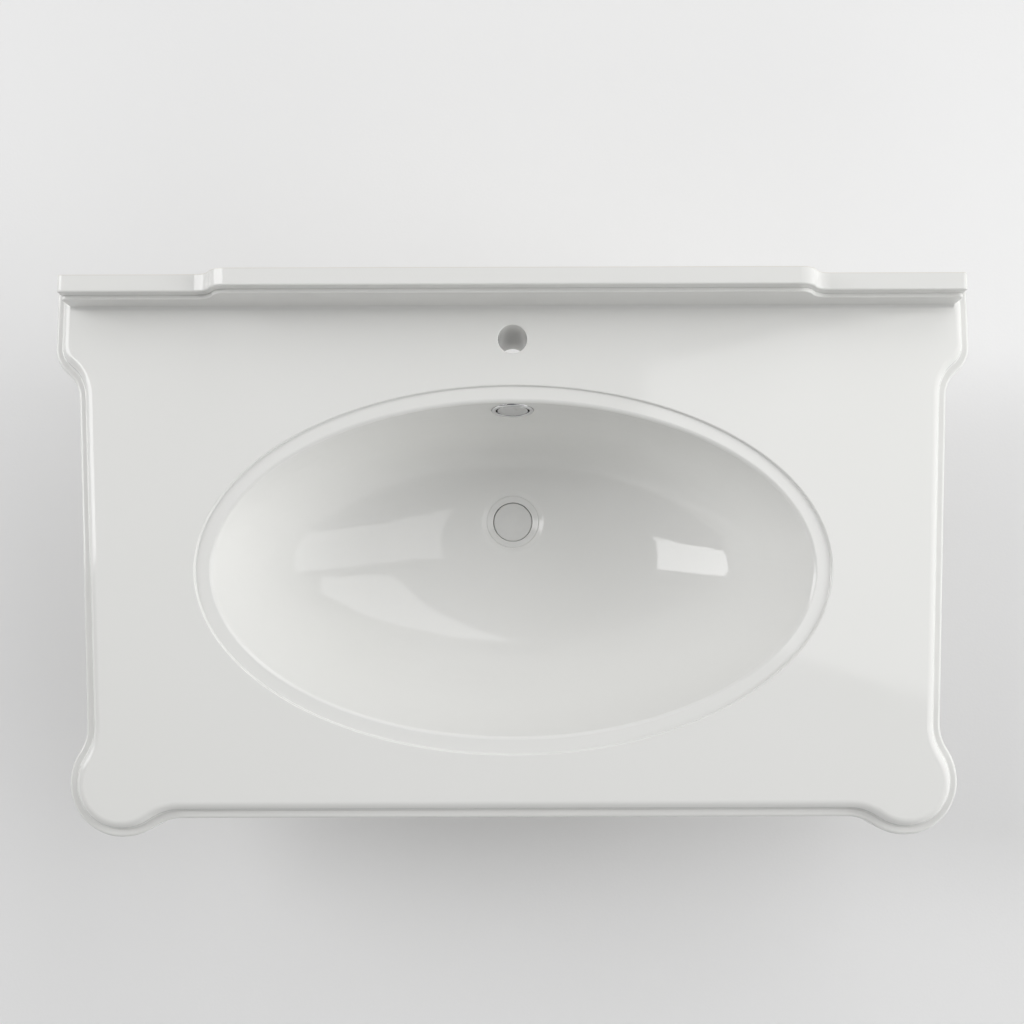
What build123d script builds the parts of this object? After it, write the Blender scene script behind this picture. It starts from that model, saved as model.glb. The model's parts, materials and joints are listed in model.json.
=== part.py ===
"""Traditional one-hole vanity basin with a moulded edge, a raised back and a push-to-open waste.

Millimetres. X is the width, the front is towards -Y and Z is up. The wall plane is y = 0, the
deck surface is z = 0 and the origin is on the centre line, on the face that meets the wall.
"""

from build123d import *
from math import atan2, cos, pi, radians, sin, tan
import os

# Plan of the deck
WING_HALF = 500.0
WING_LENGTH = 64.0
WING_TURN_LENGTH = 56.0
WING_STEP = 26.5
SIDE_TAPER = 28.5
FRONT = 568.0
LOBE_RADIUS = 57.5
LOBE_INSET = 91.0
LOBE_SETBACK = 38.5
LOBE_FLARE = 45.0

# Moulded edge, from the deck outwards and down
EDGE_HEIGHT = 60.0
EDGE_DROP = 12.0
EDGE_SETBACK = 9.5
DECK_ROUND = 9.0
COVE_ROUND = 2.5
LEDGE_ROUND = 3.0
FOOT_ROUND = 3.0

# Raised back
UPSTAND_END_HEIGHT = 46.0
UPSTAND_HEIGHT = 68.0
STEP_NEAR = 299.0
STEP_FAR = 335.0
UPSTAND_THICKNESS = 18.3
UPSTAND_LEDGE = 4.2
UPSTAND_LEDGE_DROP = 14.0
UPSTAND_END_ROUND = 6.0
UPSTAND_TOP_ROUND = 1.8
UPSTAND_LEDGE_ROUND = 1.5
UPSTAND_COVE = 4.0
UPSTAND_END_LAND = 1.0

# Bowl and the sunk ring round it
BOWL_Y = -306.0
BOWL_HALF_WIDTH = 321.2
BOWL_HALF_DEPTH = 178.8
BOWL_DEPTH = 180.0
BOWL_FLOOR_RISE = 0.35
BOWL_FLOOR_POWER = 1.6
BOWL_WALL_POWER = 5.0
BOWL_DRIFT_POWER = 1.25
BOWL_SECTIONS = 9
RIM_ROUND = 4.0
RING_WIDTH = 17.5
RING_DROP = 3.0
RING_STEP_ROUND = 1.4

# Clay walls
DECK_SKIN = 16.0
SKIRT = 18.0
BOWL_WALL = 12.0
DUCT_GAP = 18.0
DUCT_SKIN = 10.0
DUCT_HALF_WIDTH = 30.0
DUCT_TOP = -10.0
BLEND_DEPTH = 8.0

# Tap hole and wall bolt holes
TAP_HOLE_RADIUS = 15.9
TAP_HOLE_Y = -58.3
TAP_HOLE_ROUND = 1.2
TAP_BOSS_WALL = 11.0
TAP_BOSS_LENGTH = 107.0
WALL_BOLT_SPACING = 280.0
WALL_BOLT_RADIUS = 7.0
WALL_BOLT_DROP = 38.0

# Drain: a shallow funnel in the clay, with a seat for the flange round the waste hole
DRAIN_Y = -238.3
DRAIN_LIP_RADIUS = 39.0
DRAIN_LIP_ROUND = 6.0
DRAIN_TILT = 25.0
DRAIN_SEAT_RADIUS = 32.2
WASTE_HOLE_RADIUS = 25.4
WASTE_BOSS_WALL = 15.0
WASTE_CLAY_DEPTH = 50.0

# Overflow fitting
OVERFLOW_DROP = 31.0
OVERFLOW_SEAT_DEPTH = 0.4
OVERFLOW_HOLE_RADIUS = 21.0
OVERFLOW_FACE_RADIUS = 23.5
OVERFLOW_FACE_HEIGHT = 2.4
OVERFLOW_FACE_ROUND = 1.9
OVERFLOW_BARREL_BORE = 18.5
OVERFLOW_BARREL_WALL = 1.2
OVERFLOW_BARREL_LENGTH = 13.0
OVERFLOW_SLEEVE_LENGTH = 10.0
OVERFLOW_DISC_GAP = 1.6
OVERFLOW_DISC_THICKNESS = 1.6
OVERFLOW_DISC_SET_BACK = 0.4
OVERFLOW_ARM_WIDTH = 3.0
OVERFLOW_ARM_DEPTH = 4.0
OVERFLOW_ARMS = 3

# Waste
FLANGE_THICKNESS = 1.4
FLANGE_ROUND = 0.6
FLANGE_SEAL_THICKNESS = 0.6
FLANGE_SEAL_LIP = 0.4
FLANGE_SEAL_LIP_DROP = 0.2
CUP_WALL = 1.1
CUP_DEPTH = 9.0
CUP_FLOOR = 2.0
SPIGOT_LENGTH = 9.0
SPIGOT_WALL = 2.0
SPIDER_ARMS = 3
SPIDER_ARM_WIDTH = 3.0
SPIDER_HEIGHT = 4.0
SPIDER_BOSS_WALL = 2.5
TAIL_RADIUS = 20.95
TAIL_BORE = 18.6
TAIL_LENGTH = 78.0
TAIL_CHAMFER = 1.2
TAIL_SLOTS = 4
TAIL_SLOT_WIDTH = 12.0
TAIL_SLOT_HEIGHT = 14.0
TAIL_SLOT_DROP = 10.0
GASKET_RADIUS = 31.0
GASKET_THICKNESS = 6.0
GASKET_PLUG_HEIGHT = 3.0
WASHER_RADIUS = 30.0
WASHER_THICKNESS = 2.0
NUT_ACROSS_FLATS = 54.0
NUT_HEIGHT = 10.0
NUT_CHAMFER = 1.5

# Plug and its push mechanism
PLUG_TRAVEL = 8.0
PLUG_SET_BACK = 2.0
PLUG_GAP = 0.5
PLUG_THICKNESS = 3.6
PLUG_ROUND = 1.2
PLUG_BOSS_RADIUS = 5.5
PLUG_BOSS_LENGTH = 6.5
SEAL_WIDTH = 4.0
SEAL_LIFT = 0.2
PLUNGER_RADIUS = 3.4
PLUNGER_COLLAR_RADIUS = 4.6
PLUNGER_COLLAR_HEIGHT = 3.0
PLUNGER_TOP_RADIUS = 2.6
CARTRIDGE_BORE = 5.0
CARTRIDGE_WALL = 1.4
CARTRIDGE_NECK = 2.5
CARTRIDGE_FLOOR = 1.5
CARTRIDGE_HEAD_RADIUS = 8.4
CARTRIDGE_HEAD_HEIGHT = 1.6
CARTRIDGE_STOP_GAP = 0.4
SPRING_WIRE = 0.9
SPRING_TURNS = 5
SPRING_LENGTH = 13.0

# Clearances, and how finely a height on the bowl's wall is looked for
FIT = 0.05
SLIP = 0.1
EASE = 0.3
SPARE = 30.0
SHARE_STEP = 1e-6

# Levels worked out from the sizes above
RING_Z = -RING_DROP
DRAIN_Z = RING_Z - BOWL_DEPTH
BOSS_Z = DRAIN_Z - WASTE_CLAY_DEPTH
DRAIN_LEAN = radians(DRAIN_TILT)
FUNNEL_RADIUS = DRAIN_LIP_RADIUS - DRAIN_LIP_ROUND * sin(DRAIN_LEAN)
FUNNEL_Z = DRAIN_Z - DRAIN_LIP_ROUND * (1 - cos(DRAIN_LEAN))
FLANGE_RADIUS = DRAIN_SEAT_RADIUS - FLANGE_SEAL_LIP
CUP_RADIUS = WASTE_HOLE_RADIUS - EASE
CUP_BORE = CUP_RADIUS - CUP_WALL
THROAT_Z = FUNNEL_Z - (FUNNEL_RADIUS - CUP_BORE) * tan(DRAIN_LEAN)
CUP_Z = THROAT_Z - CUP_DEPTH
TAIL_Z = CUP_Z - CUP_FLOOR
TAIL_END_Z = TAIL_Z - TAIL_LENGTH
SPIGOT_END_Z = TAIL_Z - SPIGOT_LENGTH
SPIDER_Z = SPIGOT_END_Z + SPIDER_HEIGHT
PLUG_Z = THROAT_Z - PLUG_SET_BACK
PLUG_UNDER_Z = PLUG_Z - PLUG_THICKNESS
PLUG_BOSS_Z = PLUG_UNDER_Z - PLUG_BOSS_LENGTH
NECK_Z = SPIDER_Z + CARTRIDGE_HEAD_HEIGHT - CARTRIDGE_NECK
COLLAR_Z = NECK_Z - CARTRIDGE_STOP_GAP - PLUG_TRAVEL
SPRING_TOP_Z = COLLAR_Z - PLUNGER_COLLAR_HEIGHT
SPRING_FOOT_Z = SPRING_TOP_Z - SPRING_LENGTH
SIDE_HALF_AT_WING = WING_HALF - WING_STEP
SIDE_HALF_AT_FRONT = SIDE_HALF_AT_WING - SIDE_TAPER
LOBE_X = WING_HALF - LOBE_INSET
LOBE_Y = LOBE_SETBACK - FRONT
UPSTAND_HALF = WING_HALF - EDGE_SETBACK - DECK_ROUND - UPSTAND_END_LAND
DUCT_WALL = BOWL_WALL + DUCT_GAP
CARTRIDGE_RADIUS = CARTRIDGE_BORE + CARTRIDGE_WALL
SPIGOT_RADIUS = TAIL_BORE - FIT
SPIGOT_BORE = SPIGOT_RADIUS - SPIGOT_WALL
OVERFLOW_BARREL_RADIUS = OVERFLOW_BARREL_BORE + OVERFLOW_BARREL_WALL

os.makedirs("parts", exist_ok=True)


def save(part, name):
    export_step(part, f"parts/{name}.step")


def s_turn(length, offset):
    """Corner distance and radius of two equal arcs that shift a line sideways over a length."""
    corner = (length**2 + offset**2) / (4 * length)
    return corner, corner * length / offset


def block(low, high):
    size = [high[i] - low[i] for i in range(3)]
    return Pos(*low) * Box(*size, align=(Align.MIN, Align.MIN, Align.MIN))


def turned(points, axis_y):
    """Solid of revolution about the vertical axis through (0, axis_y), from radius and height pairs."""
    profile = make_face(Polyline(*[(r, 0, z) for r, z in points], close=True))
    return Pos(0, axis_y, 0) * revolve(profile, Axis.Z, 360)


def mirrored_polygon(half):
    """Face between a chain of points on the +X side and its mirror image."""
    other = [(-x, y) for x, y in reversed(half) if x > 0]
    return make_face(Polyline(*half, *other, close=True))


def deck_outline():
    """Outermost plan of the basin, run on past the wall so that the edge moulding dies into it."""
    corner, wing_radius = s_turn(WING_TURN_LENGTH, WING_STEP)
    wing_y = -(WING_LENGTH + corner)
    side_y = -(WING_LENGTH + WING_TURN_LENGTH - corner)
    plan = mirrored_polygon(
        [
            (0, SPARE),
            (WING_HALF, SPARE),
            (WING_HALF, wing_y),
            (SIDE_HALF_AT_WING, side_y),
            (SIDE_HALF_AT_FRONT, -FRONT),
            (0, -FRONT),
        ]
    )
    turns = [v for v in plan.vertices() if side_y - 1 < v.Y < wing_y + 1]
    plan = fillet(turns, wing_radius)
    for side in (-1, 1):
        plan = plan + Pos(side * LOBE_X, LOBE_Y) * Circle(LOBE_RADIUS)
    flares = [v for v in plan.vertices() if v.Y < LOBE_Y + LOBE_RADIUS]
    return fillet(flares, LOBE_FLARE)


def slab():
    """Deck with its stepped edge: a round, a cove, a ledge and an upright face."""
    outline = deck_outline()
    base = Pos(0, 0, -EDGE_DROP) * outline
    low = extrude(base, amount=-(EDGE_HEIGHT - EDGE_DROP))
    low = fillet(low.edges().group_by(Axis.Z)[-1], LEDGE_ROUND)
    low = fillet(low.edges().group_by(Axis.Z)[0], FOOT_ROUND)
    inner = Pos(0, 0, -EDGE_DROP) * offset(outline, -EDGE_SETBACK, kind=Kind.ARC)
    top = extrude(inner, amount=EDGE_DROP)
    top = fillet(top.edges().group_by(Axis.Z)[-1], DECK_ROUND)
    body = low + top
    ledge = body.faces().filter_by(Axis.Z).sort_by(Axis.Z)[-2]
    body = fillet(ledge.inner_wires()[0].edges(), COVE_ROUND)
    hollow = Pos(0, 0, -EDGE_HEIGHT) * offset(outline, -SKIRT, kind=Kind.ARC)
    hollow = extrude(hollow, amount=EDGE_HEIGHT - DECK_SKIN)
    wide = 2 * WING_HALF
    hollow = hollow - block((-wide, -SKIRT, -EDGE_HEIGHT - SPARE), (wide, wide, SPARE))
    return body - hollow


def upstand_front(drop):
    """Front elevation of the raised back, with its two S-shaped steps, lowered by a drop."""
    width = STEP_FAR - STEP_NEAR
    corner, radius = s_turn(width, UPSTAND_HEIGHT - UPSTAND_END_HEIGHT)
    high = UPSTAND_HEIGHT - drop
    low = UPSTAND_END_HEIGHT - drop
    face = mirrored_polygon(
        [
            (0, high),
            (STEP_NEAR + corner, high),
            (STEP_FAR - corner, low),
            (UPSTAND_HALF, low),
            (UPSTAND_HALF, -BLEND_DEPTH),
            (0, -BLEND_DEPTH),
        ]
    )
    face = fillet([v for v in face.vertices() if STEP_NEAR < abs(v.X) < STEP_FAR], radius)
    ends = [v for v in face.vertices() if abs(v.X) > STEP_FAR + FIT and v.Y > 0]
    return Plane.XZ * fillet(ends, UPSTAND_END_ROUND)


def upstand():
    """Raised back in two thicknesses, with a narrow ledge where the thicker one stops."""
    thin = extrude(upstand_front(0), amount=UPSTAND_THICKNESS)
    thick = extrude(upstand_front(UPSTAND_LEDGE_DROP), amount=UPSTAND_THICKNESS + UPSTAND_LEDGE)
    thin = fillet(thin.edges().group_by(Axis.Y)[0], UPSTAND_TOP_ROUND)
    front = thick.edges().group_by(Axis.Y)[0]
    thick = fillet([e for e in front if e.center().Z > 0], UPSTAND_LEDGE_ROUND)
    return thin + thick + upstand_cove()


def upstand_cove():
    """Hollow quarter round where the raised back meets the deck."""
    face_y = -(UPSTAND_THICKNESS + UPSTAND_LEDGE)
    foot_y = face_y - UPSTAND_COVE
    hollow = ThreePointArc(
        (UPSTAND_HALF, face_y, UPSTAND_COVE),
        (UPSTAND_HALF, foot_y + UPSTAND_COVE * sin(pi / 4), UPSTAND_COVE * (1 - sin(pi / 4))),
        (UPSTAND_HALF, foot_y, 0),
    )
    rest = Polyline(
        (UPSTAND_HALF, foot_y, 0),
        (UPSTAND_HALF, foot_y, -BLEND_DEPTH),
        (UPSTAND_HALF, -UPSTAND_THICKNESS, -BLEND_DEPTH),
        (UPSTAND_HALF, -UPSTAND_THICKNESS, UPSTAND_COVE),
        (UPSTAND_HALF, face_y, UPSTAND_COVE),
    )
    return extrude(make_face([hollow, rest]), amount=2 * UPSTAND_HALF, dir=(-1, 0, 0))


def bowl_section(share):
    """Semi-axes, centre and drop of the bowl's section, at a share of the way from the drain to the rim."""
    half_width = DRAIN_LIP_RADIUS + (BOWL_HALF_WIDTH - DRAIN_LIP_RADIUS) * share
    half_depth = DRAIN_LIP_RADIUS + (BOWL_HALF_DEPTH - DRAIN_LIP_RADIUS) * share
    centre = DRAIN_Y + (BOWL_Y - DRAIN_Y) * share**BOWL_DRIFT_POWER
    floor = BOWL_FLOOR_RISE * share**BOWL_FLOOR_POWER
    side = (1 - BOWL_FLOOR_RISE) * share**BOWL_WALL_POWER
    return half_width, half_depth, centre, BOWL_DEPTH * (1 - floor - side)


def bowl_body(wall):
    """Bowl filled solid, out to a wall round it: ellipses that shrink to the drain's circle."""
    sections = []
    for i in range(BOWL_SECTIONS + 1):
        angle = i * pi / 2 / BOWL_SECTIONS
        share = max(cos(angle), 0.0)
        half_width, half_depth, centre, drop = bowl_section(share)
        out = wall * share
        height = RING_Z - drop - wall * sin(angle)
        sections.append(Pos(0, centre, height) * Ellipse(half_width + out, half_depth + out))
    return loft(sections)


def back_wall_y(drop):
    """Where the bowl's back wall stands on the centre line, at a drop below its rim."""
    low = 0.0
    high = 1.0
    while high - low > SHARE_STEP:
        share = (low + high) / 2
        if bowl_section(share)[3] > drop:
            low = share
        else:
            high = share
    _, half_depth, centre, _ = bowl_section(low)
    return centre + half_depth


def overflow_plane():
    """Seat of the overflow fitting, square to the back wall, with Z out of the wall into the bowl."""
    over = back_wall_y(OVERFLOW_DROP - OVERFLOW_FACE_RADIUS)
    under = back_wall_y(OVERFLOW_DROP + OVERFLOW_FACE_RADIUS)
    lean = atan2(over - under, 2 * OVERFLOW_FACE_RADIUS)
    outward = Vector(0, -cos(lean), sin(lean))
    on_wall = Vector(0, back_wall_y(OVERFLOW_DROP), RING_Z - OVERFLOW_DROP)
    seat = on_wall - outward * OVERFLOW_SEAT_DEPTH
    return Plane(origin=seat, x_dir=(1, 0, 0), z_dir=outward)


def below(level):
    wide = 2 * WING_HALF
    return block((-wide, -wide, -wide), (wide, wide, level))


def behind_drain(half_width, top):
    """Upright slab behind the drain's axis, which bounds the overflow's way down."""
    return block((-half_width, DRAIN_Y, -WING_HALF), (half_width, 0, top))


def funnel_z(radius, under=0.0):
    """Height of the drain's funnel at a radius, or of a face that far under it."""
    return FUNNEL_Z - (FUNNEL_RADIUS - radius) * tan(DRAIN_LEAN) - under


def bowl_cutter():
    """What is taken out above the clay of the bowl: the sunk ring, the bowl, the funnel and the seat."""
    wide = BOWL_HALF_WIDTH + RING_WIDTH
    deep = BOWL_HALF_DEPTH + RING_WIDTH
    ring = extrude(Pos(0, BOWL_Y, RING_Z) * Ellipse(wide, deep), amount=SPARE)
    ring = fillet(ring.edges().group_by(Axis.Z)[0], RING_STEP_ROUND)
    cutter = ring + bowl_body(0)
    floor = cutter.faces().filter_by(Axis.Z).filter_by(lambda f: abs(f.center().Z - RING_Z) < FIT)[0]
    cutter = fillet(floor.inner_wires()[0].edges(), RIM_ROUND)
    lip = TangentArc((DRAIN_LIP_RADIUS, 0, DRAIN_Z), (FUNNEL_RADIUS, 0, FUNNEL_Z), tangent=(-1, 0, 0))
    seat = FLANGE_THICKNESS + FLANGE_SEAL_THICKNESS
    rest = Polyline(
        (FUNNEL_RADIUS, 0, FUNNEL_Z),
        (DRAIN_SEAT_RADIUS, 0, funnel_z(DRAIN_SEAT_RADIUS)),
        (DRAIN_SEAT_RADIUS, 0, funnel_z(DRAIN_SEAT_RADIUS, seat)),
        (WASTE_HOLE_RADIUS, 0, funnel_z(WASTE_HOLE_RADIUS, seat)),
        (0, 0, funnel_z(WASTE_HOLE_RADIUS, seat)),
        (0, 0, DRAIN_Z),
        (DRAIN_LIP_RADIUS, 0, DRAIN_Z),
    )
    recess = revolve(make_face([lip, rest]), Axis.Z, 360)
    return cutter + Pos(0, DRAIN_Y, 0) * recess


def basin():
    """The whole clay body, with its overflow duct between two skins behind the bowl."""
    duct_space = bowl_body(DUCT_WALL)
    wall = bowl_body(BOWL_WALL)
    duct = bowl_body(DUCT_WALL + DUCT_SKIN) & behind_drain(DUCT_HALF_WIDTH + DUCT_SKIN, -BLEND_DEPTH)
    shell = wall & below(-BLEND_DEPTH)
    boss_radius = WASTE_HOLE_RADIUS + WASTE_BOSS_WALL
    boss_top = DRAIN_Z - BOWL_WALL / 2
    boss = turned([(0, BOSS_Z), (boss_radius, BOSS_Z), (boss_radius, boss_top), (0, boss_top)], DRAIN_Y)
    tap_wall = TAP_HOLE_RADIUS + TAP_BOSS_WALL
    tap_top = -DECK_SKIN / 2
    tap_foot = -TAP_BOSS_LENGTH
    tap_boss = turned([(0, tap_foot), (tap_wall, tap_foot), (tap_wall, tap_top), (0, tap_top)], TAP_HOLE_Y)
    body = slab() + upstand() + shell + duct + boss + tap_boss
    body = body - bowl_cutter()
    deck = body.faces().filter_by(Axis.Z).filter_by(lambda f: abs(f.center().Z) < FIT)[0]
    body = fillet(deck.inner_wires()[0].edges(), RING_STEP_ROUND)
    body = body - ((duct_space - wall) & behind_drain(DUCT_HALF_WIDTH, DUCT_TOP))
    body = body - Pos(0, DRAIN_Y, DRAIN_Z) * Cylinder(WASTE_HOLE_RADIUS, 2 * BOWL_DEPTH)
    seat = overflow_plane()
    spot = seat * extrude(Circle(OVERFLOW_FACE_RADIUS + EASE), amount=SPARE)
    hole = seat * extrude(Circle(OVERFLOW_HOLE_RADIUS), amount=BOWL_WALL + DUCT_GAP / 2, both=True)
    body = body - spot - hole
    body = body - Pos(0, TAP_HOLE_Y, 0) * Cylinder(TAP_HOLE_RADIUS, 4 * EDGE_HEIGHT)
    mouths = body.edges().filter_by(GeomType.CIRCLE)
    mouth = mouths.filter_by(lambda e: abs(e.radius - TAP_HOLE_RADIUS) < FIT and abs(e.center().Z) < FIT)
    body = fillet(mouth, TAP_HOLE_ROUND)
    bolt = Rot(90, 0, 0) * Cylinder(WALL_BOLT_RADIUS, 4 * SKIRT)
    for side in (-1, 1):
        body = body - Pos(side * WALL_BOLT_SPACING / 2, 0, -WALL_BOLT_DROP) * bolt
    body = body - block((-2 * WING_HALF, 0, -WING_HALF), (2 * WING_HALF, 2 * SPARE, WING_HALF))
    return body


def overflow_ring():
    """Domed ring that covers the clay's edge, with a barrel that pushes into the sleeve."""
    face = Circle(OVERFLOW_FACE_RADIUS) - Circle(OVERFLOW_BARREL_BORE)
    face = extrude(face, amount=OVERFLOW_FACE_HEIGHT)
    crest = face.edges().group_by(Axis.Z)[-1].sort_by(SortBy.RADIUS)
    face = fillet(crest[-1], OVERFLOW_FACE_ROUND)
    face = fillet(face.edges().group_by(Axis.Z)[-1].sort_by(SortBy.RADIUS)[0], OVERFLOW_BARREL_WALL)
    barrel = Circle(OVERFLOW_BARREL_RADIUS) - Circle(OVERFLOW_BARREL_BORE)
    return overflow_plane() * (face + extrude(barrel, amount=-OVERFLOW_BARREL_LENGTH))


def overflow_sleeve():
    """Soft sleeve that grips the barrel in the clay."""
    tube = Circle(OVERFLOW_HOLE_RADIUS - SLIP) - Circle(OVERFLOW_BARREL_RADIUS + FIT)
    return overflow_plane() * extrude(tube, amount=-OVERFLOW_SLEEVE_LENGTH)


def overflow_disc():
    """Bare cover disc, held off the ring by arms that clip inside the barrel."""
    top = OVERFLOW_FACE_HEIGHT - OVERFLOW_DISC_SET_BACK
    under = top - OVERFLOW_DISC_THICKNESS
    radius = OVERFLOW_BARREL_BORE - OVERFLOW_DISC_GAP
    disc = Pos(0, 0, under) * extrude(Circle(radius), amount=OVERFLOW_DISC_THICKNESS)
    disc = fillet(disc.edges().group_by(Axis.Z)[-1], OVERFLOW_DISC_THICKNESS / 2)
    reach = OVERFLOW_BARREL_BORE - FIT
    arm = block((0, -OVERFLOW_ARM_WIDTH / 2, -OVERFLOW_ARM_DEPTH), (reach, OVERFLOW_ARM_WIDTH / 2, under))
    limit = Pos(0, 0, -OVERFLOW_ARM_DEPTH) * extrude(Circle(reach), amount=2 * OVERFLOW_ARM_DEPTH)
    for i in range(OVERFLOW_ARMS):
        disc = disc + Rot(0, 0, 90 + i * 360 / OVERFLOW_ARMS) * (arm & limit)
    return overflow_plane() * disc


def waste_flange():
    """Enamelled flange with its cup, a spigot into the tail and a spider that holds the cartridge."""
    body = turned(
        [
            (FLANGE_RADIUS, funnel_z(FLANGE_RADIUS, FLANGE_THICKNESS)),
            (FLANGE_RADIUS, funnel_z(FLANGE_RADIUS)),
            (CUP_BORE, THROAT_Z),
            (CUP_BORE, CUP_Z),
            (SPIGOT_BORE, CUP_Z),
            (SPIGOT_BORE, SPIGOT_END_Z),
            (SPIGOT_RADIUS, SPIGOT_END_Z),
            (SPIGOT_RADIUS, TAIL_Z),
            (CUP_RADIUS, TAIL_Z),
            (CUP_RADIUS, funnel_z(CUP_RADIUS, FLANGE_THICKNESS)),
        ],
        0,
    )
    circles = body.edges().filter_by(GeomType.CIRCLE)
    body = fillet([e for e in circles if abs(e.center().Z - funnel_z(e.radius)) < FIT], FLANGE_ROUND)
    reach = (SPIGOT_BORE + SPIGOT_RADIUS) / 2
    half = SPIDER_ARM_WIDTH / 2
    arm = block((0, -half, SPIGOT_END_Z), (reach, half, SPIDER_Z))
    for i in range(SPIDER_ARMS):
        body = body + Rot(0, 0, 90 + i * 360 / SPIDER_ARMS) * arm
    boss = CARTRIDGE_RADIUS + FIT + SPIDER_BOSS_WALL
    body = body + turned([(0, SPIGOT_END_Z), (boss, SPIGOT_END_Z), (boss, SPIDER_Z), (0, SPIDER_Z)], 0)
    hole = CARTRIDGE_RADIUS + FIT
    body = body - turned([(0, TAIL_END_Z), (hole, TAIL_END_Z), (hole, PLUG_Z), (0, PLUG_Z)], 0)
    return Pos(0, DRAIN_Y, 0) * body


def flange_seal():
    """Soft ring under the flange, with a thin lip that closes the gap round it."""
    seat = FLANGE_THICKNESS + FLANGE_SEAL_THICKNESS
    return turned(
        [
            (WASTE_HOLE_RADIUS, funnel_z(WASTE_HOLE_RADIUS, seat)),
            (DRAIN_SEAT_RADIUS, funnel_z(DRAIN_SEAT_RADIUS, seat)),
            (DRAIN_SEAT_RADIUS, funnel_z(DRAIN_SEAT_RADIUS, FLANGE_SEAL_LIP_DROP)),
            (FLANGE_RADIUS, funnel_z(FLANGE_RADIUS, FLANGE_SEAL_LIP_DROP)),
            (FLANGE_RADIUS, funnel_z(FLANGE_RADIUS, FLANGE_THICKNESS)),
            (WASTE_HOLE_RADIUS, funnel_z(WASTE_HOLE_RADIUS, FLANGE_THICKNESS)),
        ],
        DRAIN_Y,
    )


def waste_tail():
    """Threaded tail under the flange, slotted where the overflow's water comes in."""
    tube = turned(
        [
            (TAIL_BORE, TAIL_END_Z),
            (TAIL_RADIUS - TAIL_CHAMFER, TAIL_END_Z),
            (TAIL_RADIUS, TAIL_END_Z + TAIL_CHAMFER),
            (TAIL_RADIUS, TAIL_Z),
            (TAIL_BORE, TAIL_Z),
        ],
        0,
    )
    half = TAIL_SLOT_WIDTH / 2
    top = TAIL_Z - TAIL_SLOT_DROP
    slot = block((0, -half, top - TAIL_SLOT_HEIGHT), (2 * TAIL_RADIUS, half, top))
    slot = fillet(slot.edges().filter_by(Axis.X), half - FIT)
    for i in range(TAIL_SLOTS):
        tube = tube - Rot(0, 0, (i + 0.5) * 360 / TAIL_SLOTS) * slot
    return Pos(0, DRAIN_Y, 0) * tube


def tail_gasket():
    """Rubber ring under the clay, whose taper plugs the foot of the waste hole."""
    inner = TAIL_RADIUS + SLIP
    return turned(
        [
            (inner, BOSS_Z - GASKET_THICKNESS),
            (GASKET_RADIUS, BOSS_Z - GASKET_THICKNESS),
            (GASKET_RADIUS, BOSS_Z),
            (WASTE_HOLE_RADIUS - EASE, BOSS_Z),
            ((inner + WASTE_HOLE_RADIUS) / 2, BOSS_Z + GASKET_PLUG_HEIGHT),
            (inner, BOSS_Z + GASKET_PLUG_HEIGHT),
        ],
        DRAIN_Y,
    )


def tail_washer():
    top = BOSS_Z - GASKET_THICKNESS
    inner = TAIL_RADIUS + SLIP
    return turned(
        [
            (inner, top - WASHER_THICKNESS),
            (WASHER_RADIUS, top - WASHER_THICKNESS),
            (WASHER_RADIUS, top),
            (inner, top),
        ],
        DRAIN_Y,
    )


def waste_nut():
    """Hexagon back nut with both faces chamfered."""
    top = BOSS_Z - GASKET_THICKNESS - WASHER_THICKNESS
    corner = NUT_ACROSS_FLATS / 2 / cos(pi / 6)
    prism = extrude(Pos(0, 0, top - NUT_HEIGHT) * RegularPolygon(corner, 6), amount=NUT_HEIGHT)
    flat = NUT_ACROSS_FLATS / 2
    blank = turned(
        [
            (TAIL_RADIUS + FIT, top - NUT_HEIGHT),
            (flat, top - NUT_HEIGHT),
            (corner, top - NUT_HEIGHT + NUT_CHAMFER),
            (corner, top - NUT_CHAMFER),
            (flat, top),
            (TAIL_RADIUS + FIT, top),
        ],
        0,
    )
    return Pos(0, DRAIN_Y, 0) * (prism & blank)


def plug_cap():
    """White disc that closes the cup, with a socket for the plunger underneath."""
    radius = CUP_BORE - PLUG_GAP
    disc = Pos(0, 0, PLUG_UNDER_Z) * extrude(Circle(radius), amount=PLUG_THICKNESS)
    disc = fillet(disc.edges().group_by(Axis.Z)[-1], PLUG_ROUND)
    boss = turned(
        [
            (0, PLUG_BOSS_Z),
            (PLUG_BOSS_RADIUS, PLUG_BOSS_Z),
            (PLUG_BOSS_RADIUS, PLUG_UNDER_Z + PLUG_ROUND),
            (0, PLUG_UNDER_Z + PLUG_ROUND),
        ],
        0,
    )
    socket_radius = PLUNGER_TOP_RADIUS + FIT
    socket_top = PLUG_UNDER_Z
    socket = turned(
        [
            (0, PLUG_BOSS_Z - SPARE),
            (socket_radius, PLUG_BOSS_Z - SPARE),
            (socket_radius, socket_top),
            (0, socket_top),
        ],
        0,
    )
    return Pos(0, DRAIN_Y, 0) * (disc + boss - socket)


def plug_seal():
    """Rubber ring on the underside of the cap, over the floor of the cup."""
    outer = CUP_BORE - PLUG_GAP - SLIP
    return turned(
        [
            (outer - SEAL_WIDTH, CUP_Z + SEAL_LIFT),
            (outer, CUP_Z + SEAL_LIFT),
            (outer, PLUG_UNDER_Z),
            (outer - SEAL_WIDTH, PLUG_UNDER_Z),
        ],
        DRAIN_Y,
    )


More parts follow.
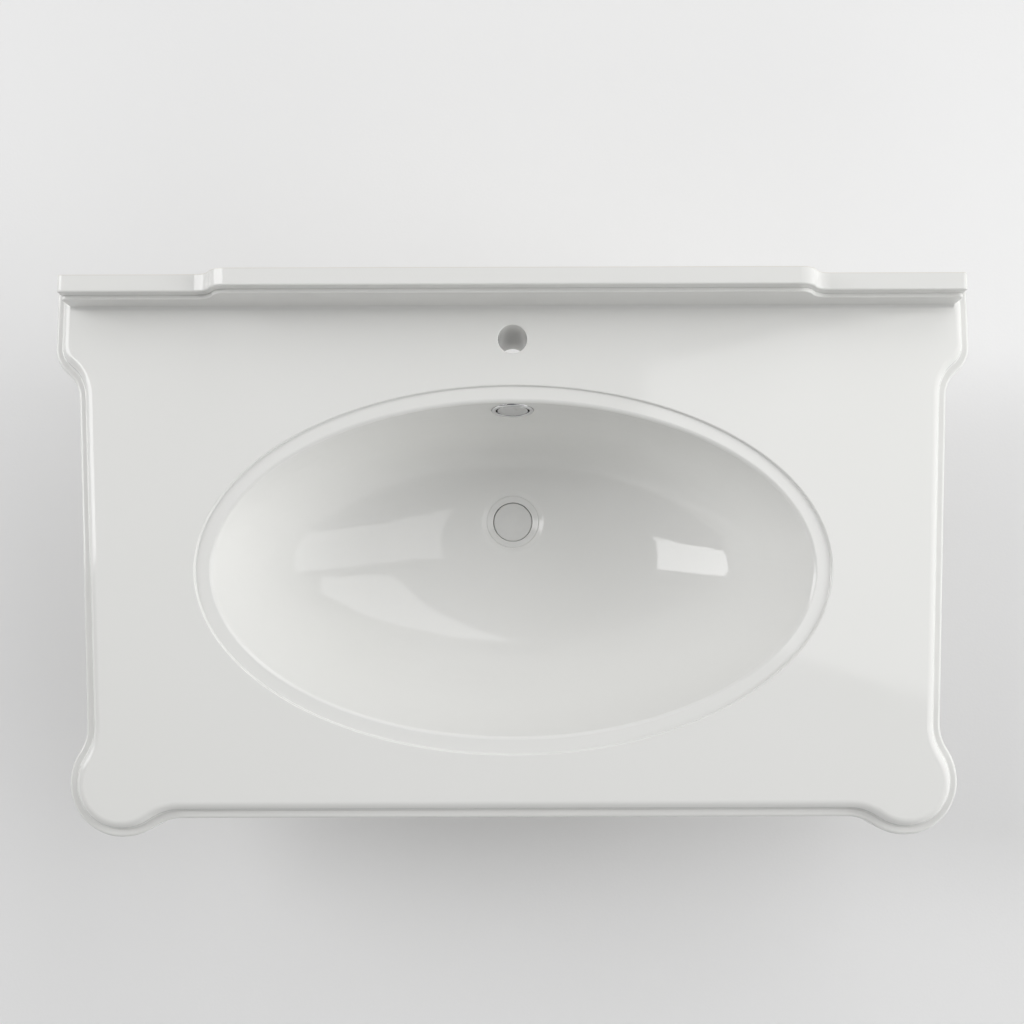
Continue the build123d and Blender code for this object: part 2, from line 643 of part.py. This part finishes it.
def click_housing():
    """Cartridge that hangs in the spider and guides the plunger through its neck."""
    neck = PLUNGER_RADIUS + FIT
    return turned(
        [
            (neck, SPIDER_Z + CARTRIDGE_HEAD_HEIGHT),
            (neck, NECK_Z),
            (CARTRIDGE_BORE, NECK_Z),
            (CARTRIDGE_BORE, SPRING_FOOT_Z),
            (0, SPRING_FOOT_Z),
            (0, SPRING_FOOT_Z - CARTRIDGE_FLOOR),
            (CARTRIDGE_RADIUS, SPRING_FOOT_Z - CARTRIDGE_FLOOR),
            (CARTRIDGE_RADIUS, SPIDER_Z),
            (CARTRIDGE_HEAD_RADIUS, SPIDER_Z),
            (CARTRIDGE_HEAD_RADIUS, SPIDER_Z + CARTRIDGE_HEAD_HEIGHT),
        ],
        DRAIN_Y,
    )


def click_plunger():
    """Rod that carries the plug, with a collar that stops under the neck when the plug is up."""
    return turned(
        [
            (0, SPRING_TOP_Z),
            (PLUNGER_COLLAR_RADIUS, SPRING_TOP_Z),
            (PLUNGER_COLLAR_RADIUS, COLLAR_Z),
            (PLUNGER_RADIUS, COLLAR_Z),
            (PLUNGER_RADIUS, PLUG_BOSS_Z),
            (PLUNGER_TOP_RADIUS, PLUG_BOSS_Z),
            (PLUNGER_TOP_RADIUS, PLUG_UNDER_Z - FIT),
            (0, PLUG_UNDER_Z - FIT),
        ],
        DRAIN_Y,
    )


def click_spring():
    """Compression spring between the foot of the cartridge and the collar."""
    mean = CARTRIDGE_BORE - EASE - SPRING_WIRE / 2
    climb = SPRING_LENGTH - SPRING_WIRE - 2 * FIT
    path = Helix(pitch=climb / SPRING_TURNS, height=climb, radius=mean)
    wire = sweep(Plane(origin=path @ 0, z_dir=path % 0) * Circle(SPRING_WIRE / 2), path)
    return Pos(0, DRAIN_Y, SPRING_FOOT_Z + SPRING_WIRE / 2 + FIT) * wire


PIECES = (
    basin,
    overflow_ring,
    overflow_sleeve,
    overflow_disc,
    waste_flange,
    flange_seal,
    waste_tail,
    tail_gasket,
    tail_washer,
    waste_nut,
    plug_cap,
    plug_seal,
    click_housing,
    click_plunger,
    click_spring,
)
for piece in PIECES:
    save(piece(), piece.__name__)
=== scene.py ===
import json
from collections import namedtuple
from math import pi, radians

import bpy
from mathutils import Matrix, Vector


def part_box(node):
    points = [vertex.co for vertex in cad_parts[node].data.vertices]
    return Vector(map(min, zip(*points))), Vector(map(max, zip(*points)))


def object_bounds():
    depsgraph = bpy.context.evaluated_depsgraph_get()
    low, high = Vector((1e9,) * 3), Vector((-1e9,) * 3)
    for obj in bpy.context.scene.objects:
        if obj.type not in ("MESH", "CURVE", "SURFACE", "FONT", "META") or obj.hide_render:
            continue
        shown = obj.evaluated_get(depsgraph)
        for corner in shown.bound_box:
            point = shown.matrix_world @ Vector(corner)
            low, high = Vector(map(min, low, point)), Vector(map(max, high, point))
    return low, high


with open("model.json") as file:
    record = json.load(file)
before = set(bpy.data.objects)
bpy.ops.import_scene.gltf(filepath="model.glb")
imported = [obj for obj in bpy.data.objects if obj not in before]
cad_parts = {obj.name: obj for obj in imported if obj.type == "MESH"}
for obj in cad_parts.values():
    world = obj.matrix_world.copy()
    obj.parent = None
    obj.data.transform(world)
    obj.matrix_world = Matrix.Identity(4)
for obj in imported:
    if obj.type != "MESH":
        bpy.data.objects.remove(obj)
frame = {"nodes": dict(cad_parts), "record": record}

cad_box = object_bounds()

# Camera: almost straight down, as in the photograph
CAMERA_PLACE = (-0.0015, -0.3925, 1.273)
CAMERA_TILT = 6.5
CAMERA_ROLL = -0.17
CAMERA_LENS = 42.19
SENSOR = 36.0

# Floor under the basin
FLOOR_DROP = 0.021
FLOOR_SIZE = 7.0
FLOOR_COLOR = (0.85, 0.85, 0.85)
FLOOR_SHADE = tuple(0.985 * part for part in FLOOR_COLOR)
FLOOR_SPECULAR = 0.2

# Panels that the glaze reflects. Each hangs from the middle of its top edge.
Panel = namedtuple("Panel", "top along facing width length radiance")
PANELS = {
    "right_panel": Panel(
        top=(0.636, 0.364, 4.36),
        along=(0.269, -0.151, -0.951),
        facing=(-0.963, -0.061, -0.263),
        width=1.16,
        length=4.3,
        radiance=1.2,
    ),
    "corner_panel": Panel(
        top=(0.445, 1.815, 2.236),
        along=(0.841, 0.143, -0.521),
        facing=(-0.332, -0.624, -0.707),
        width=2.25,
        length=2.2,
        radiance=1.4,
    ),
    "left_panel": Panel(
        top=(-2.16, 0.725, 4.085),
        along=(-0.418, -0.066, -0.906),
        facing=(0.9, -0.2, -0.4),
        width=1.5,
        length=3.5,
        radiance=4.0,
    ),
}

# Square lamps, aimed at the basin, that light it without being reflected
Fill = namedtuple("Fill", "place size radiance")
FILL_AIM = Vector((0.0, -0.3, 0.0))
FILLS = {
    "fill_right": Fill((5.0, -0.3, 1.6), 3.3, 4.35),
    "fill_left": Fill((-3.0, -0.3, 1.5), 2.0, 0.34),
    "fill_back_left": Fill((-2.2, 1.8, 1.8), 2.0, 1.37),
    "fill_front": Fill((0.0, -3.2, 1.8), 2.0, 1.03),
}

# Dim light from all round, and the pale wall that eye and gloss see up to a steepness
WORLD_LEVEL = 0.17
WALL_LEVEL = 0.85
WALL_FADES_FROM = 0.15
WALL_ENDS_AT = 0.3

# The drain's upright axis, and the height of the foot that the basin rests on
DRAIN_Y = (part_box("waste_tail")[0][1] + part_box("waste_tail")[1][1]) / 2
FOOT_Z = next(mount["pos_m"][2] for mount in frame["record"]["mounts"] if mount["name"] == "underside_rest")

# Glaze
GLAZE_IOR = 1.55
GLAZE_WHITE = (0.80, 0.80, 0.783)
GLAZE_CLOUD = (0.791, 0.792, 0.772)
GLAZE_THIN = (0.765, 0.755, 0.725)
THIN_ROUGHNESS = 0.14
WAVE_DEPTH = 0.00006
PEEL_DEPTH = 0.000004

# Bare clay, on the wall face and under the foot
CLAY_DARK = (0.66, 0.62, 0.55)
CLAY_LIGHT = (0.74, 0.70, 0.63)
CLAY_ROUGHNESS = 0.8
CLAY_GRAIN = 0.0002
CLAY_BAND = 0.0004
FACES_DOWN = -0.9

# Enamel
ENAMEL_WHITE = (0.78, 0.78, 0.765)
ENAMEL_CLOUD_SHARE = 0.98
CAP_TONE = 0.95

# Metals
CHROME_BRIGHT = (0.75, 0.75, 0.76)
CHROME_LIME = (0.66, 0.66, 0.65)
LIME_ROUGHNESS = 0.12
BRASS_BRIGHT = (0.74, 0.60, 0.34)
BRASS_RING = (0.69, 0.54, 0.28)
BRASS_TARNISH = (0.48, 0.36, 0.19)
TARNISH_ROUGHNESS = 0.15
STEEL_BRIGHT = (0.62, 0.62, 0.63)
STEEL_BLOOM = (0.5, 0.5, 0.5)

# Thread on the waste tail
THREAD_PITCH = 0.002309
THREAD_DEPTH = 0.0012
THREAD_INNER_RADIUS = 0.0195

# Sockets of a Mix node that mixes colours
MIX_SHARE, MIX_FIRST, MIX_SECOND, MIX_RESULT = 0, 6, 7, 2


def make_camera():
    data = bpy.data.cameras.new("camera")
    data.sensor_width = SENSOR
    data.lens = CAMERA_LENS
    camera = bpy.data.objects.new("camera", data)
    camera.location = CAMERA_PLACE
    camera.rotation_euler = (radians(CAMERA_TILT), 0, radians(CAMERA_ROLL))
    bpy.context.scene.collection.objects.link(camera)
    bpy.context.scene.camera = camera


def hang(name, top, along, facing, width, length, radiance):
    """A rectangular lamp that hangs down from the middle of its top edge."""
    data = bpy.data.lights.new(name, "AREA")
    data.shape = "RECTANGLE"
    data.size = width
    data.size_y = length
    data.energy = radiance * pi * width * length
    lamp = bpy.data.objects.new(name, data)
    down = Vector(along).normalized()
    back = -Vector(facing)
    back = (back - back.dot(down) * down).normalized()
    side = down.cross(back) * -1
    turn = Matrix((side, -down, back)).transposed()
    lamp.matrix_world = Matrix.Translation(Vector(top) + down * length / 2) @ turn.to_4x4()
    lamp.visible_camera = False
    bpy.context.scene.collection.objects.link(lamp)
    return lamp


def make_lights():
    for name, panel in PANELS.items():
        hang(name, *panel)
    for name, fill in FILLS.items():
        place = Vector(fill.place)
        facing = (FILL_AIM - place).normalized()
        along = (Vector((0, 0, -1)) - facing * -facing.z).normalized()
        top = place - along * fill.size / 2
        lamp = hang(name, top, along, facing, fill.size, fill.size, fill.radiance)
        lamp.visible_glossy = False
    bpy.context.scene.view_settings.view_transform = "Standard"


class Graph:
    """A node tree that is built by calls."""

    def __init__(self, tree):
        self.tree = tree

    def add(self, kind, **settings):
        node = self.tree.nodes.new(kind)
        for name, value in settings.items():
            setattr(node, name, value)
        return node

    def feed(self, socket, value):
        """Links a socket to another, or sets it to a number or a colour."""
        if isinstance(value, bpy.types.NodeSocket):
            self.tree.links.new(value, socket)
        elif isinstance(value, tuple):
            socket.default_value = (*value, 1)
        else:
            socket.default_value = value

    def split(self, vector):
        node = self.add("ShaderNodeSeparateXYZ")
        self.feed(node.inputs["Vector"], vector)
        return node.outputs

    def math(self, operation, *values):
        node = self.add("ShaderNodeMath", operation=operation)
        for socket, value in zip(node.inputs, values):
            self.feed(socket, value)
        return node.outputs[0]

    def ramp(self, value, low, high, start=0.0, end=1.0):
        """Carries value smoothly from low..high to start..end, and no further."""
        node = self.add("ShaderNodeMapRange", interpolation_type="SMOOTHSTEP")
        facts = {"Value": value, "From Min": low, "From Max": high, "To Min": start, "To Max": end}
        for name, fact in facts.items():
            self.feed(node.inputs[name], fact)
        return node.outputs["Result"]


class Recipe(Graph):
    """One procedural material. Its textures run on the frame's own metres."""

    def __init__(self, name, metallic=0.0):
        self.material = bpy.data.materials.new(name)
        self.material.use_nodes = True
        super().__init__(self.material.node_tree)
        self.shader = self.tree.nodes["Principled BSDF"]
        self.shader.inputs["Metallic"].default_value = metallic
        self.place = self.add("ShaderNodeTexCoord").outputs["Object"]
        self.x, self.y, self.z = self.split(self.place)
        self.bump = None

    def noise(self, scale, detail=2.0, stretch=(1, 1, 1)):
        mapping = self.add("ShaderNodeMapping")
        self.feed(mapping.inputs["Vector"], self.place)
        mapping.inputs["Scale"].default_value = stretch
        node = self.add("ShaderNodeTexNoise")
        self.feed(node.inputs["Vector"], mapping.outputs["Vector"])
        self.feed(node.inputs["Scale"], scale)
        self.feed(node.inputs["Detail"], detail)
        return node.outputs["Fac"]

    def lines(self, value, scale, detail=2.0):
        """Noise along one measure only, such as the rings that a lathe leaves."""
        node = self.add("ShaderNodeTexNoise", noise_dimensions="1D")
        self.feed(node.inputs["W"], value)
        self.feed(node.inputs["Scale"], scale)
        self.feed(node.inputs["Detail"], detail)
        return node.outputs["Fac"]

    def mix(self, share, first, second):
        node = self.add("ShaderNodeMix", data_type="RGBA")
        self.feed(node.inputs[MIX_SHARE], share)
        self.feed(node.inputs[MIX_FIRST], first)
        self.feed(node.inputs[MIX_SECOND], second)
        return node.outputs[MIX_RESULT]

    def relief(self, height, depth):
        """Adds a bump of so many metres to those already there."""
        node = self.add("ShaderNodeBump")
        self.feed(node.inputs["Distance"], depth)
        self.feed(node.inputs["Height"], height)
        if self.bump is not None:
            self.feed(node.inputs["Normal"], self.bump)
        self.bump = node.outputs["Normal"]
        self.feed(self.shader.inputs["Normal"], self.bump)

    def surface(self, color, roughness):
        self.feed(self.shader.inputs["Base Color"], color)
        self.feed(self.shader.inputs["Roughness"], roughness)

    def rougher(self, roughness, share, extra):
        """Adds extra roughness where the share is 1."""
        return self.math("ADD", roughness, self.math("MULTIPLY", share, extra))

    def from_drain(self):
        """How far a point lies towards the back from the drain's axis."""
        return self.math("SUBTRACT", self.y, DRAIN_Y)

    def drain_radius(self):
        across = self.from_drain()
        squares = self.math("ADD", self.math("POWER", self.x, 2.0), self.math("MULTIPLY", across, across))
        return self.math("SQRT", squares)


def make_world():
    """Even dim light all round. Eye and gloss see a white wall along the horizon."""
    world = bpy.data.worlds.new("studio")
    world.use_nodes = True
    graph = Graph(world.node_tree)
    direction = graph.split(graph.add("ShaderNodeTexCoord").outputs["Generated"])
    steepness = graph.math("ABSOLUTE", direction["Z"])
    wall = graph.ramp(steepness, WALL_FADES_FROM, WALL_ENDS_AT, WALL_LEVEL - WORLD_LEVEL, 0.0)
    path = graph.add("ShaderNodeLightPath").outputs
    seen = graph.math("MAXIMUM", path["Is Camera Ray"], path["Is Glossy Ray"])
    seen = graph.math("MAXIMUM", seen, path["Is Transmission Ray"])
    background = graph.tree.nodes["Background"]
    background.inputs["Color"].default_value = (1, 1, 1, 1)
    graph.feed(background.inputs["Strength"], graph.math("MULTIPLY_ADD", wall, seen, WORLD_LEVEL))
    bpy.context.scene.world = world


def glaze():
    """White glaze over vitreous clay, thin underneath and left off where the basin rests."""
    recipe = Recipe("glaze")
    recipe.shader.inputs["IOR"].default_value = GLAZE_IOR
    facing = recipe.split(recipe.add("ShaderNodeNewGeometry").outputs["Normal"])["Z"]
    off_foot = recipe.math("ABSOLUTE", recipe.math("SUBTRACT", recipe.z, FOOT_Z))
    foot = recipe.math("LESS_THAN", off_foot, CLAY_BAND)
    foot = recipe.math("MULTIPLY", foot, recipe.math("LESS_THAN", facing, FACES_DOWN))
    bare = recipe.math("MAXIMUM", foot, recipe.math("GREATER_THAN", recipe.y, -CLAY_BAND))
    thin = recipe.ramp(facing, low=-0.25, high=-0.03, start=1.0, end=0.0)

    cloud = recipe.ramp(recipe.noise(scale=3.0, detail=1.0), low=0.35, high=0.65)
    color = recipe.mix(cloud, GLAZE_WHITE, GLAZE_CLOUD)
    color = recipe.mix(thin, color, GLAZE_THIN)
    grain = recipe.noise(scale=900.0, detail=1.0)
    color = recipe.mix(bare, color, recipe.mix(grain, CLAY_DARK, CLAY_LIGHT))

    gloss = recipe.ramp(recipe.noise(scale=9.0, detail=2.0), low=0.3, high=0.7, start=0.035, end=0.075)
    roughness = recipe.rougher(gloss, thin, THIN_ROUGHNESS)
    roughness = recipe.math("MAXIMUM", roughness, recipe.math("MULTIPLY", bare, CLAY_ROUGHNESS))
    recipe.surface(color, roughness)

    recipe.relief(recipe.noise(scale=12.0, detail=0.0), WAVE_DEPTH)
    recipe.relief(recipe.noise(scale=350.0, detail=0.0), PEEL_DEPTH)
    recipe.relief(recipe.math("MULTIPLY", grain, bare), CLAY_GRAIN)
    return recipe.material


def enamel(name, tone=1.0):
    """Gloss enamel on the drain's flange and cap, faintly hazed by cleaning."""
    recipe = Recipe(name)
    light = tuple(tone * part for part in ENAMEL_WHITE)
    shade = tuple(ENAMEL_CLOUD_SHARE * part for part in light)
    cloud = recipe.ramp(recipe.noise(scale=60.0, detail=2.0), low=0.35, high=0.65)
    haze = recipe.ramp(recipe.noise(scale=220.0, detail=4.0), low=0.4, high=0.7, start=0.09, end=0.2)
    recipe.surface(recipe.mix(cloud, light, shade), haze)
    recipe.relief(recipe.noise(scale=420.0, detail=1.0), depth=0.000006)
    return recipe.material


def chrome():
    """Polished plate with fine wiping scratches and a trace of lime."""
    recipe = Recipe("chrome", metallic=1.0)
    lime = recipe.ramp(recipe.noise(scale=130.0, detail=5.0), low=0.55, high=0.75)
    scratches = recipe.noise(scale=900.0, detail=3.0, stretch=(1.0, 0.06, 0.2))
    roughness = recipe.ramp(scratches, low=0.45, high=0.75, start=0.05, end=0.13)
    color = recipe.mix(lime, CHROME_BRIGHT, CHROME_LIME)
    recipe.surface(color, recipe.rougher(roughness, lime, LIME_ROUGHNESS))
    recipe.relief(scratches, depth=0.000004)
    return recipe.material


def brass(name, threaded=False):
    """Turned brass: lathe rings round the drain's axis, and tarnish in clouds."""
    recipe = Recipe(name, metallic=1.0)
    radius = recipe.drain_radius()
    rings = recipe.lines(recipe.math("ADD", radius, recipe.z), scale=2600.0, detail=3.0)
    tarnish = recipe.ramp(recipe.noise(scale=45.0, detail=4.0), low=0.42, high=0.68)
    color = recipe.mix(tarnish, recipe.mix(rings, BRASS_BRIGHT, BRASS_RING), BRASS_TARNISH)
    roughness = recipe.ramp(rings, low=0.3, high=0.7, start=0.2, end=0.34)
    recipe.surface(color, recipe.rougher(roughness, tarnish, TARNISH_ROUGHNESS))
    if threaded:
        turn = recipe.math("DIVIDE", recipe.math("ARCTAN2", recipe.from_drain(), recipe.x), 2 * pi)
        climb = recipe.math("SUBTRACT", recipe.math("DIVIDE", recipe.z, THREAD_PITCH), turn)
        tooth = recipe.math("MULTIPLY", recipe.math("PINGPONG", climb, 0.5), 2.0)
        outside = recipe.math("GREATER_THAN", radius, THREAD_INNER_RADIUS)
        recipe.relief(recipe.math("MULTIPLY", tooth, outside), THREAD_DEPTH)
    recipe.relief(rings, depth=0.000008)
    return recipe.material


def steel():
    """Drawn wire: fine lines along its length and a dull bloom."""
    recipe = Recipe("steel", metallic=1.0)
    drawn = recipe.noise(scale=1400.0, detail=3.0, stretch=(0.25, 0.25, 1.0))
    bloom = recipe.ramp(recipe.noise(scale=110.0, detail=3.0), low=0.4, high=0.7)
    roughness = recipe.ramp(drawn, low=0.3, high=0.7, start=0.22, end=0.42)
    recipe.surface(recipe.mix(bloom, STEEL_BRIGHT, STEEL_BLOOM), roughness)
    recipe.relief(drawn, depth=0.000006)
    return recipe.material


def moulded(name, clean, dusty, smooth, rough, grain_scale, grain_depth):
    """Rubber or plastic with a moulded grain and a little dust."""
    recipe = Recipe(name)
    grain = recipe.noise(grain_scale, detail=3.0)
    dust = recipe.ramp(recipe.noise(scale=70.0, detail=4.0), low=0.4, high=0.75)
    roughness = recipe.ramp(grain, low=0.3, high=0.7, start=smooth, end=rough)
    recipe.surface(recipe.mix(dust, clean, dusty), roughness)
    recipe.relief(grain, grain_depth)
    return recipe.material


def make_floor():
    recipe = Recipe("floor")
    cloud = recipe.ramp(recipe.noise(scale=1.2, detail=2.0), low=0.3, high=0.7)
    matt = recipe.ramp(recipe.noise(scale=6.0, detail=2.0), low=0.3, high=0.7, start=0.85, end=0.95)
    recipe.surface(recipe.mix(cloud, FLOOR_COLOR, FLOOR_SHADE), matt)
    recipe.relief(recipe.noise(scale=300.0, detail=2.0), depth=0.0001)
    recipe.shader.inputs["Specular IOR Level"].default_value = FLOOR_SPECULAR
    half = FLOOR_SIZE / 2
    height = cad_box[0][2] - FLOOR_DROP
    mesh = bpy.data.meshes.new("floor")
    corners = [(-half, -half, height), (half, -half, height), (half, half, height), (-half, half, height)]
    mesh.from_pydata(corners, [], [(0, 1, 2, 3)])
    mesh.materials.append(recipe.material)
    floor = bpy.data.objects.new("floor", mesh)
    bpy.context.scene.collection.objects.link(floor)


def dress(node, material):
    mesh = frame["nodes"][node].data
    mesh.materials.clear()
    mesh.materials.append(material)


make_camera()
make_lights()
make_world()
make_floor()

RUBBER = moulded(
    "rubber",
    clean=(0.045, 0.045, 0.045),
    dusty=(0.075, 0.073, 0.07),
    smooth=0.5,
    rough=0.72,
    grain_scale=700.0,
    grain_depth=0.00003,
)
SOFT_PLASTIC = moulded(
    "soft_plastic",
    clean=(0.77, 0.77, 0.755),
    dusty=(0.74, 0.74, 0.71),
    smooth=0.32,
    rough=0.48,
    grain_scale=500.0,
    grain_depth=0.00001,
)
HARD_PLASTIC = moulded(
    "hard_plastic",
    clean=(0.83, 0.83, 0.81),
    dusty=(0.79, 0.785, 0.76),
    smooth=0.4,
    rough=0.55,
    grain_scale=800.0,
    grain_depth=0.00001,
)
SLOTS = {
    "ceramic": glaze(),
    "white_enamel": enamel("enamel"),
    "chrome": chrome(),
    "brass": brass("brass"),
    "steel": steel(),
    "rubber": RUBBER,
    "soft_plastic": SOFT_PLASTIC,
    "hard_plastic": HARD_PLASTIC,
}
for part in frame["record"]["subparts"]:
    dress(part["node"], SLOTS[part["material_slot"]])
dress("plug_cap", enamel("cap_enamel", CAP_TONE))
dress("waste_tail", brass("threaded_brass", threaded=True))
